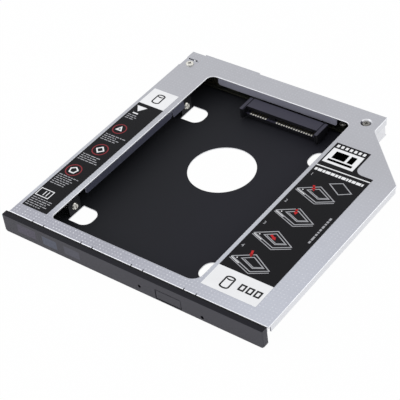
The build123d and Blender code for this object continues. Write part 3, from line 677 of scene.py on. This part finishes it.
def inkNumber(ink, text, x, y, size):
    curve = bpy.data.curves.new("number", "FONT")
    curve.body = text
    curve.size = size * mm
    curve.offset = 0.02 * mm
    holder = bpy.data.objects.new("number", curve)
    shape = bpy.data.meshes.new_from_object(holder)
    shape.transform(Matrix.Translation((x * mm, y * mm, 0.0)))
    ink.from_mesh(shape)
    bpy.data.objects.remove(holder)
    bpy.data.curves.remove(curve)
    bpy.data.meshes.remove(shape)


def inkArrow(ink, tip, turn, length=3.6, width=1.9):
    # Block arrow, its tip first
    back, half, neck = -0.45 * length, width / 2, width * 0.25
    shape = [(0, 0), (back, half), (back, neck), (-length, neck),
             (-length, -neck), (back, -neck), (back, -half)]
    turned = [Matrix.Rotation(math.radians(turn), 2) @ Vector(point) for point in shape]
    inkFace(ink, [(tip[0] + p.x, tip[1] + p.y) for p in turned])


def finishInk(name, ink, low, high, material):
    # Gives the flat print its thickness and lays it on the label's top
    made = bmesh.ops.extrude_face_region(ink, geom=ink.faces[:], use_keep_orig=True)
    raised = [part for part in made["geom"] if isinstance(part, bmesh.types.BMVert)]
    bmesh.ops.translate(ink, verts=raised, vec=(0.0, 0.0, labelFilm["inkHeight"]))
    bmesh.ops.translate(ink, verts=ink.verts[:], vec=(low.x, low.y, high.z))
    bmesh.ops.recalc_face_normals(ink, faces=ink.faces[:])
    finishPiece(name, ink, material, "chassis")


def finishPiece(name, shape, material, body):
    mesh = bpy.data.meshes.new(name)
    shape.to_mesh(mesh)
    shape.free()
    mesh.materials.append(material)
    piece = bpy.data.objects.new(name, mesh)
    bpy.context.scene.collection.objects.link(piece)
    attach(piece, body)
    return piece


def dress(node, material):
    nodes[node].data.materials.clear()
    nodes[node].data.materials.append(material)


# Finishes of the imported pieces
plastic = makePlastic("faceplatePlastic", faceplate["front"])
buttonPlastic = makePlastic("buttonPlastic", faceplate["button"])
socketPlastic = makeSocketPlastic()
leftField = (leftHigh.y - leftPrint["fieldLength"] * mm, leftHigh.y)
rightField = (rightLow.y, rightLow.y + rightPrint["fieldLength"] * mm)
leftFilm = makeFilm("leftFilm", labelFilm["black"], leftField)
rightFilm = makeFilm("rightFilm", labelFilm["black"], rightField)
for node, material in {
    "top_frame": makeFrameMetal(),
    "bottom_tray": makeTrayFinish(),
    "front_bezel": plastic,
    "eject_button": buttonPlastic,
    "adapter_board": makeBoardLaminate(),
    "board_capacitors": makeCapacitorCeramic(),
    "drive_receptacle": socketPlastic,
    "drive_signal_contacts": makeContactMetal("drive_signal_contacts"),
    "drive_power_contacts": makeContactMetal("drive_power_contacts"),
    "host_plug": socketPlastic,
    "host_signal_contacts": makeContactMetal("host_signal_contacts", rearward=True),
    "host_power_contacts": makeContactMetal("host_power_contacts", rearward=True),
    "left_label": leftFilm,
    "right_label": rightFilm,
}.items():
    dress(node, material)
print("finishes on")


def printLeftLabel():
    white, grey, red, black = (bmesh.new() for _ in range(4))
    inkDrum(black, leftPrint["drum"])
    inkFace(white, leftPrint["wedge"])
    inkPatch(white, *leftPrint["wedgeFoot"])
    for x, y, radius, corners in leftPrint["rings"]:
        inkOutline(red, arc((x, y), (radius, radius), 0, 350, 35), leftPrint["ringStroke"])
        inner = radius * leftPrint["innerShare"]
        inkOutline(white, arc((x, y), (inner, inner), 90, 450 - 360 / corners, corners - 1),
                   leftPrint["innerStroke"])
    left, right, bottom, top = leftPrint["frame"]
    inkOutline(white, [(left, bottom), (right, bottom), (right, top), (left, top)], leftPrint["frameStroke"])
    for x in leftPrint["frameBars"]:
        inkBar(white, (x, leftPrint["barReach"][0]), (x, leftPrint["barReach"][1]), leftPrint["frameStroke"])
    for left, right, first, count in leftPrint["lines"]:
        for i in range(count):
            end = right - random.uniform(0, leftPrint["ragged"]) * (right - left)
            inkWords(grey, left, end, first - i * leftPrint["lineStep"], leftPrint["lineWidth"])
    finishInk("left_print_black", black, leftLow, leftHigh, makeFilm("inkBlack", labelFilm["ink"]))
    finishInk("left_print_white", white, leftLow, leftHigh, inkWhite)
    finishInk("left_print_grey", grey, leftLow, leftHigh, inkGrey)
    finishInk("left_print_red", red, leftLow, leftHigh, makeFilm("inkRing", labelFilm["ringRed"]))


# Line drawing of a tray seen from a corner, in mm from its lower left, each line with its width
trayDrawing = {
    "outlines": ((((0, 4.9), (11.4, 0.9), (18.0, 5.0), (8.2, 10.2)), 0.42),
                 (((4.0, 5.7), (11.2, 2.9), (15.4, 5.2), (8.4, 8.7)), 0.4)),
    # The drive lying in the window, then the tray's lower edges
    "bars": (((5.6, 5.9), (11.2, 3.7), 0.3), ((11.2, 3.7), (14.2, 5.3), 0.3),
             ((0, 4.0), (11.4, 0), 0.35), ((11.4, 0), (18.0, 4.1), 0.35)),
    "lip": ((0.4, 4.5), (5.0, 2.9), 0.3), "mark": (2.4, 2.9, 5.0, 5.5),
}


def drawTray(grey, white, x, y):
    def moved(*points):
        return [(x + right, y + up) for right, up in points]

    for points, stroke in trayDrawing["outlines"]:
        inkOutline(grey, moved(*points), stroke)
    for start, end, width in trayDrawing["bars"]:
        inkBar(grey, *moved(start, end), width)
    start, end, width = trayDrawing["lip"]
    inkBar(white, *moved(start, end), width)
    left, right, bottom, top = trayDrawing["mark"]
    inkPatch(white, x + left, x + right, y + bottom, y + top)


def drawPlug(black, left, right, bottom, top):
    # Plain flat plug in black
    width, height = right - left, top - bottom
    for start, end, low, high in rightPrint["plug"]:
        inkPatch(black, left + start * width, left + end * width,
                 bottom + low * height, bottom + high * height)


def printRightLabel():
    white, grey, red, black = (bmesh.new() for _ in range(4))
    start, end, width = rightPrint["rule"]
    inkBar(white, start, end, width)
    inkDrum(black, rightPrint["drum"])
    signs = rightPrint["signs"]
    for i in range(signs["count"]):
        left = signs["first"] + i * signs["step"]
        right = left + signs["size"]
        low = signs["middle"] - signs["size"] * signs["drop"]
        high = low + signs["size"] * signs["tall"]
        inkOutline(black, [(left, low), (right, low), (right, high), (left, high)], signs["stroke"])
    x = rightPrint["drawingLeft"]
    steps = zip(reversed(rightPrint["drawings"]), reversed(rightPrint["numbers"]))
    for number, (y, mark) in enumerate(steps, 1):
        drawTray(grey, white, x, y)
        inkNumber(grey, str(number), x, mark, rightPrint["numberSize"])
    inkOutline(grey, rightPrint["card"], rightPrint["cardStroke"])
    for tip, turn in rightPrint["arrows"]:
        inkArrow(red, tip, turn)
    left, right, y = rightPrint["heading"]
    inkWords(white, left, right, y, rightPrint["headingHeight"], rightPrint["headingGap"])
    x, bottom, top = rightPrint["side"]
    while bottom < top:
        length = random.uniform(*rightPrint["sideLength"])
        inkPatch(grey, x, x + rightPrint["sideWidth"], bottom, bottom + length)
        bottom += length + rightPrint["sideGap"]
    left, right, bottom, top = rightPrint["block"]
    inkPatch(white, left, right, bottom, top)
    drawPlug(black, left, right, bottom, top)
    step = (right - left) / rightPrint["ticks"]
    (start, end), (low, high) = rightPrint["tickShare"], rightPrint["tickRise"]
    for i in range(rightPrint["ticks"]):
        inkPatch(white, left + (i + start) * step, left + (i + end) * step, top + low, top + high)
    finishInk("right_print_white", white, rightLow, rightHigh, inkWhite)
    finishInk("right_print_grey", grey, rightLow, rightHigh, inkGrey)
    finishInk("right_print_red", red, rightLow, rightHigh, makeFilm("inkRed", labelFilm["red"]))
    finishInk("right_print_black", black, rightLow, rightHigh, makeFilm("inkDark", labelFilm["ink"]))


# Screws, each with its axis (0 for X, 2 for Z), head height and thread radius in mm, and its body
screws = {
    "top_screw_left": (2, 0.7, 1.0, "chassis"), "top_screw_right": (2, 0.7, 1.0, "chassis"),
    "board_screw_left": (2, 0.7, 0.85, "chassis"), "board_screw_right": (2, 0.7, 0.85, "chassis"),
    "locating_screw_front": (0, 1.8, 1.5, "front_screw"), "locating_screw_rear": (0, 1.8, 1.5, "rear_screw"),
}
screwShape = {
    "sides": 24, "threadDepth": 0.22, "pitch": 0.4, "tooth": 0.34, "coarsePitch": 0.5, "coarseTooth": 0.42,
    "crossReach": 0.95, "crossHalf": 0.22, "crossDepth": 0.4, "dome": 0.3, "rimDrop": 0.2,
    "slotReach": 1.0, "slotHalf": 0.25, "slotDepth": 0.5, "tipChamfer": 0.25, "play": 0.01,
    "sharpAngle": 30, "coarseAbove": 1.2,  # thread radius above which a screw is coarse and has a slotted tip
}


# The shapes below are in mm, and each is scaled once, when it is placed
def turnProfile(shape, profile):
    # Spins an open profile of radius and height, and gives its first and last rings
    points = [shape.verts.new((radius, 0, height)) for radius, height in profile]
    lines = [shape.edges.new(pair) for pair in zip(points, points[1:])]
    bmesh.ops.spin(shape, geom=points + lines, cent=(0, 0, 0), axis=(0, 0, 1), angle=2 * math.pi,
                   steps=screwShape["sides"], use_merge=True)
    rims = [edge for edge in shape.edges if edge.is_boundary]
    return [[edge for edge in rims if abs(edge.verts[0].co.z - height) < screwShape["play"]
             and abs(edge.verts[1].co.z - height) < screwShape["play"]]
            for height in (profile[0][1], profile[-1][1])]


def cornerLoop(shape, corners, height):
    points = [shape.verts.new((x, y, height)) for x, y in corners]
    return [shape.edges.new((points[i - 1], points[i])) for i in range(len(points))]


def crossCorners():
    # One arm's three corners, turned to the four arms
    reach, half = screwShape["crossReach"], screwShape["crossHalf"]
    arm = [Vector((half, half)), Vector((half, reach)), Vector((-half, reach))]
    turns = [Matrix.Rotation(math.radians(90 * quarter), 2) for quarter in range(4)]
    return [turn @ corner for turn in turns for corner in arm]


def slotCorners():
    reach, half = screwShape["slotReach"], screwShape["slotHalf"]
    steps = [reach * share for share in (1.0, 0.6, 0.2, -0.2, -0.6, -1.0)]
    return [(x, half) for x in steps] + [(x, -half) for x in reversed(steps)]


def cutThread(shape, root, crest, pitch, tooth, start, length):
    # A three-sided ridge, wound down the shank
    corners = [(root, start), (crest, start - tooth / 2), (root, start - tooth)]
    points = [shape.verts.new((x, 0, z)) for x, z in corners]
    ridge = shape.faces.new(points)
    turns = (length - tooth) / pitch
    steps = int(turns * screwShape["sides"])
    geometry = [ridge] + list(ridge.edges) + list(ridge.verts)
    bmesh.ops.spin(shape, geom=geometry, cent=(0, 0, 0), axis=(0, 0, 1), angle=turns * 2 * math.pi,
                   dvec=(0, 0, -turns * pitch / steps), steps=steps, use_merge=False)


def makeScrew(node, axis, headHeight, radius, body):
    low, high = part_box(node)
    length = (high[axis] - low[axis]) / mm
    headRadius = (high.y - low.y) / 2 / mm
    root = radius - screwShape["threadDepth"]
    coarse = radius > screwShape["coarseAbove"]
    pitch = screwShape["coarsePitch"] if coarse else screwShape["pitch"]
    tooth = screwShape["coarseTooth"] if coarse else screwShape["tooth"]
    shape = bmesh.new()
    cross, chamfer = crossCorners(), screwShape["tipChamfer"]
    dome, drop = screwShape["dome"], screwShape["rimDrop"]
    headRim, tipRim = turnProfile(shape, [
        (headRadius - dome, 0), (headRadius - dome * 0.3, -drop * 0.4), (headRadius, -drop),
        (headRadius, -headHeight), (root, -headHeight), (root, chamfer - length),
        (root - chamfer * 0.4, -length)])
    sinks = [[headRim, cornerLoop(shape, cross, 0), cornerLoop(shape, cross, -screwShape["crossDepth"])],
             [tipRim]]
    if coarse:
        slot = slotCorners()
        sinks[1] += [cornerLoop(shape, slot, -length),
                     cornerLoop(shape, slot, screwShape["slotDepth"] - length)]
    for rim, *sunk in sinks:
        # The flat ring round a cross or slot is filled, and only its walls are bridged
        ring = rim + (sunk[0] if sunk else [])
        bmesh.ops.triangle_fill(shape, edges=ring, use_beauty=True, normal=(0, 0, 1))
        if sunk:
            bmesh.ops.bridge_loops(shape, edges=sunk[0] + sunk[1])
            bmesh.ops.contextual_create(shape, geom=sunk[1])
    cutThread(shape, root - screwShape["play"], radius - screwShape["play"], pitch, tooth,
              -headHeight, length - headHeight - chamfer)
    bmesh.ops.holes_fill(shape, edges=shape.edges[:], sides=0)
    bmesh.ops.recalc_face_normals(shape, faces=shape.faces[:])
    centre = (low + high) / 2
    if axis == 2:
        place = Matrix.Translation((centre.x, centre.y, high.z))
    else:
        place = Matrix.Translation((low.x, centre.y, centre.z)) @ Matrix.Rotation(math.radians(-90), 4, "Y")
    bmesh.ops.transform(shape, matrix=place @ Matrix.Scale(mm, 4), verts=shape.verts[:])
    piece = finishPiece(node + "_threaded", shape, makeScrewMetal(node, axis), body)
    piece.data.shade_smooth()
    piece.data.set_sharp_from_angle(angle=math.radians(screwShape["sharpAngle"]))
    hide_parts(node)


for node, (axis, headHeight, radius, body) in screws.items():
    makeScrew(node, axis, headHeight, radius, body)
print("screws turned")

inkWhite = makeFilm("inkWhite", labelFilm["white"])
inkGrey = makeFilm("inkGrey", labelFilm["grey"])
printLeftLabel()
printRightLabel()
print("labels printed")


# Studio
stage = {
    "floorSize": 6.0, "drop": 0.02 * mm, "pale": paint(236, 237, 240), "showWhite": 0.98,
    "sky": paint(231, 232, 235), "skyStrength": 0.92,
}


def seenDirectly(tree):
    # 1 for rays from the camera and for mirrored or refracted ones
    rays = tree.nodes.new("ShaderNodeLightPath")
    direct = calc(tree, "MAXIMUM", rays.outputs["Is Camera Ray"], rays.outputs["Is Glossy Ray"])
    return calc(tree, "MAXIMUM", direct, rays.outputs["Is Transmission Ray"])


def makeFloor():
    shape = bmesh.new()
    half = stage["floorSize"] / 2
    bmesh.ops.create_grid(shape, x_segments=2, y_segments=2, size=half,
                          matrix=Matrix.Translation((0, 0, cadBox[0].z - stage["drop"])))
    mesh = bpy.data.meshes.new("floor")
    shape.to_mesh(mesh)
    shape.free()
    floor = bpy.data.objects.new("floor", mesh)
    bpy.context.scene.collection.objects.link(floor)
    look = Finish("floorPaper", 0.9, specular=0.1)
    look.colour(stage["pale"])
    glow = look.tree.nodes.new("ShaderNodeEmission")
    glow.inputs["Strength"].default_value = 1.0
    mixer = look.tree.nodes.new("ShaderNodeMixShader")
    feed(look.tree, mixer.inputs[0], calc(look.tree, "MULTIPLY", seenDirectly(look.tree), stage["showWhite"]))
    look.tree.links.new(look.shader.outputs[0], mixer.inputs[1])
    look.tree.links.new(glow.outputs[0], mixer.inputs[2])
    look.tree.links.new(mixer.outputs[0], look.tree.nodes["Material Output"].inputs["Surface"])
    mesh.materials.append(look.material)


def makeSky():
    world = bpy.data.worlds.new("studio")
    world.use_nodes = True
    tree = world.node_tree
    soft = tree.nodes["Background"]
    soft.inputs["Color"].default_value = stage["sky"]
    soft.inputs["Strength"].default_value = stage["skyStrength"]
    white = tree.nodes.new("ShaderNodeBackground")
    white.inputs["Color"].default_value = (1, 1, 1, 1)
    mixer = tree.nodes.new("ShaderNodeMixShader")
    feed(tree, mixer.inputs[0], seenDirectly(tree))
    tree.links.new(soft.outputs[0], mixer.inputs[1])
    tree.links.new(white.outputs[0], mixer.inputs[2])
    tree.links.new(mixer.outputs[0], tree.nodes["World Output"].inputs["Surface"])
    bpy.context.scene.world = world


lamps = {
    "left": {"place": (-0.65, -0.05, 0.4), "size": 0.4, "watts": 0.9},
    "frontLeft": {"place": (-0.38, -0.49, 0.42), "size": 0.3, "watts": 0.6},
    "rearRight": {"place": (0.49, 0.42, 0.38), "size": 0.3, "watts": 0.6},
}


def makeLamps():
    for name, lamp in lamps.items():
        light = bpy.data.lights.new(name, "AREA")
        light.size = lamp["size"]
        light.energy = lamp["watts"]
        holder = bpy.data.objects.new(name, light)
        holder.location = lamp["place"]
        holder.rotation_euler = (-Vector(lamp["place"])).to_track_quat("-Z", "Y").to_euler()
        bpy.context.scene.collection.objects.link(holder)


camera = {
    "place": (0.28614, -0.33530, 0.37505), "turn": (49.113, 6.180, 36.571), "lens": 126.54,
    "sensor": 36.0, "nearest": 0.01,
}


def makeCamera():
    lens = bpy.data.cameras.new("camera")
    lens.lens = camera["lens"]
    lens.sensor_width = camera["sensor"]
    lens.clip_start = camera["nearest"]
    holder = bpy.data.objects.new("camera", lens)
    holder.location = camera["place"]
    holder.rotation_euler = [math.radians(angle) for angle in camera["turn"]]
    bpy.context.scene.collection.objects.link(holder)
    bpy.context.scene.camera = holder


makeFloor()
makeSky()
makeLamps()
makeCamera()
bpy.context.scene.view_settings.view_transform = "Standard"
print("studio ready")
